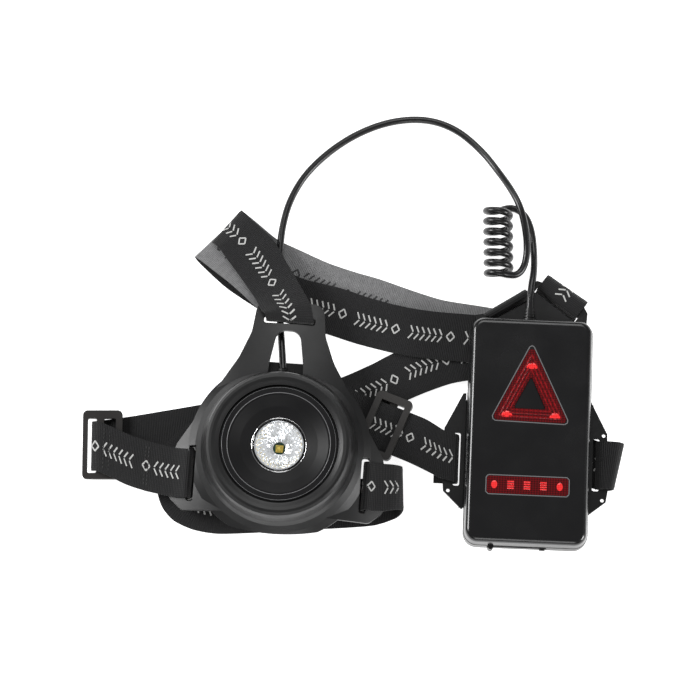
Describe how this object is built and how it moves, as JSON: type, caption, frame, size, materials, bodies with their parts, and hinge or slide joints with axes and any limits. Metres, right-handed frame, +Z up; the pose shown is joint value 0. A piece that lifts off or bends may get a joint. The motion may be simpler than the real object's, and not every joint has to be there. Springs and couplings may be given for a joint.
{
  "type": "chest-mounted running lamp with harness and battery pack",
  "caption": "Tilting lamp head on a rubber chest plate, webbing harness, and a cable with a coiled part to a flat back pack with a red triangle and bar tail light.",
  "frame": {"origin": "middle of the laid-out object on the floor, measured without its cable", "axes": "+Z up from the floor through the lamp and pack faces, +X from the lamp to the pack, +Y towards the shoulder end of both"},
  "size_m": [0.2682, 0.2239, 0.034],
  "materials": {
    "rubber_black": "satin",
    "plastic_black": "fine texture",
    "gloss_black": "gloss",
    "web_black": "woven webbing",
    "chrome": "vacuum metallised",
    "clear": "clear",
    "red_lens": "clear red",
    "board": "solder mask",
    "led": "phosphor",
    "alu": "as cast",
    "steel": "zinc plated",
    "cell": "foil pouch",
    "foam": "foam",
    "cable": "satin",
    "slider": "fine texture"
  },
  "bodies": {
    "base": {"chest_plate": "rubber_black", "lamp_case": "plastic_black", "socket_ring": "plastic_black", "driver_board": "board", "tact_switch": "plastic_black", "case_screws": "steel", "case_seal": "rubber_black", "lamp_gland": "rubber_black", "back_plate": "plastic_black", "rear_shell": "plastic_black", "pack_seal": "rubber_black", "front_cover": "gloss_black", "triangle_lens": "red_lens", "bar_lens": "red_lens", "triangle_baffle": "plastic_black", "tail_board": "board", "triangle_leds": "led", "bar_leds": "led", "battery_cell": "cell", "foam_pad": "foam", "charge_board": "board", "usb_socket": "steel", "pack_screws": "steel", "pack_gland": "rubber_black", "shoulder_strap": "web_black", "left_side_strap": "web_black", "right_side_strap": "web_black", "left_slider": "slider", "cable_lamp_run": "cable", "cable_coil": "cable", "cable_pack_run": "cable"},
    "head": {"head_shell": "plastic_black", "bezel_ring": "gloss_black", "hood": "gloss_black", "front_lens": "clear", "lens_seal": "rubber_black", "reflector": "chrome", "led_board": "board", "led_emitter": "led", "heat_sink": "alu", "pivot_pins": "steel"},
    "button": {"power_button": "rubber_black"},
    "flap": {"usb_cover": "rubber_black"},
    "slider": {"right_slider": "slider"}
  },
  "joints": [
    {"name": "lamp_tilt", "type": "hinge", "parent": "base", "child": "head", "pos_m": [-0.0363, -0.0376, 0.0231], "axis": [0.9973, -0.0732, 0], "range_deg": [-15, 25]},
    {"name": "power_button", "type": "slide", "parent": "base", "child": "button", "axis": [0.0732, 0.9973, 0], "range_m": [0, 0.001], "stiffness_N_per_m": 900},
    {"name": "usb_cover", "type": "hinge", "parent": "base", "child": "flap", "pos_m": [0.06696, -0.08543, 0.0115], "axis": [0, 0, -1], "range_deg": [0, 100]},
    {"name": "strap_adjust", "type": "slide", "parent": "base", "child": "slider", "axis": [0.907, -0.3926, 0.1522], "range_m": [0, 0.006]}
  ]
}
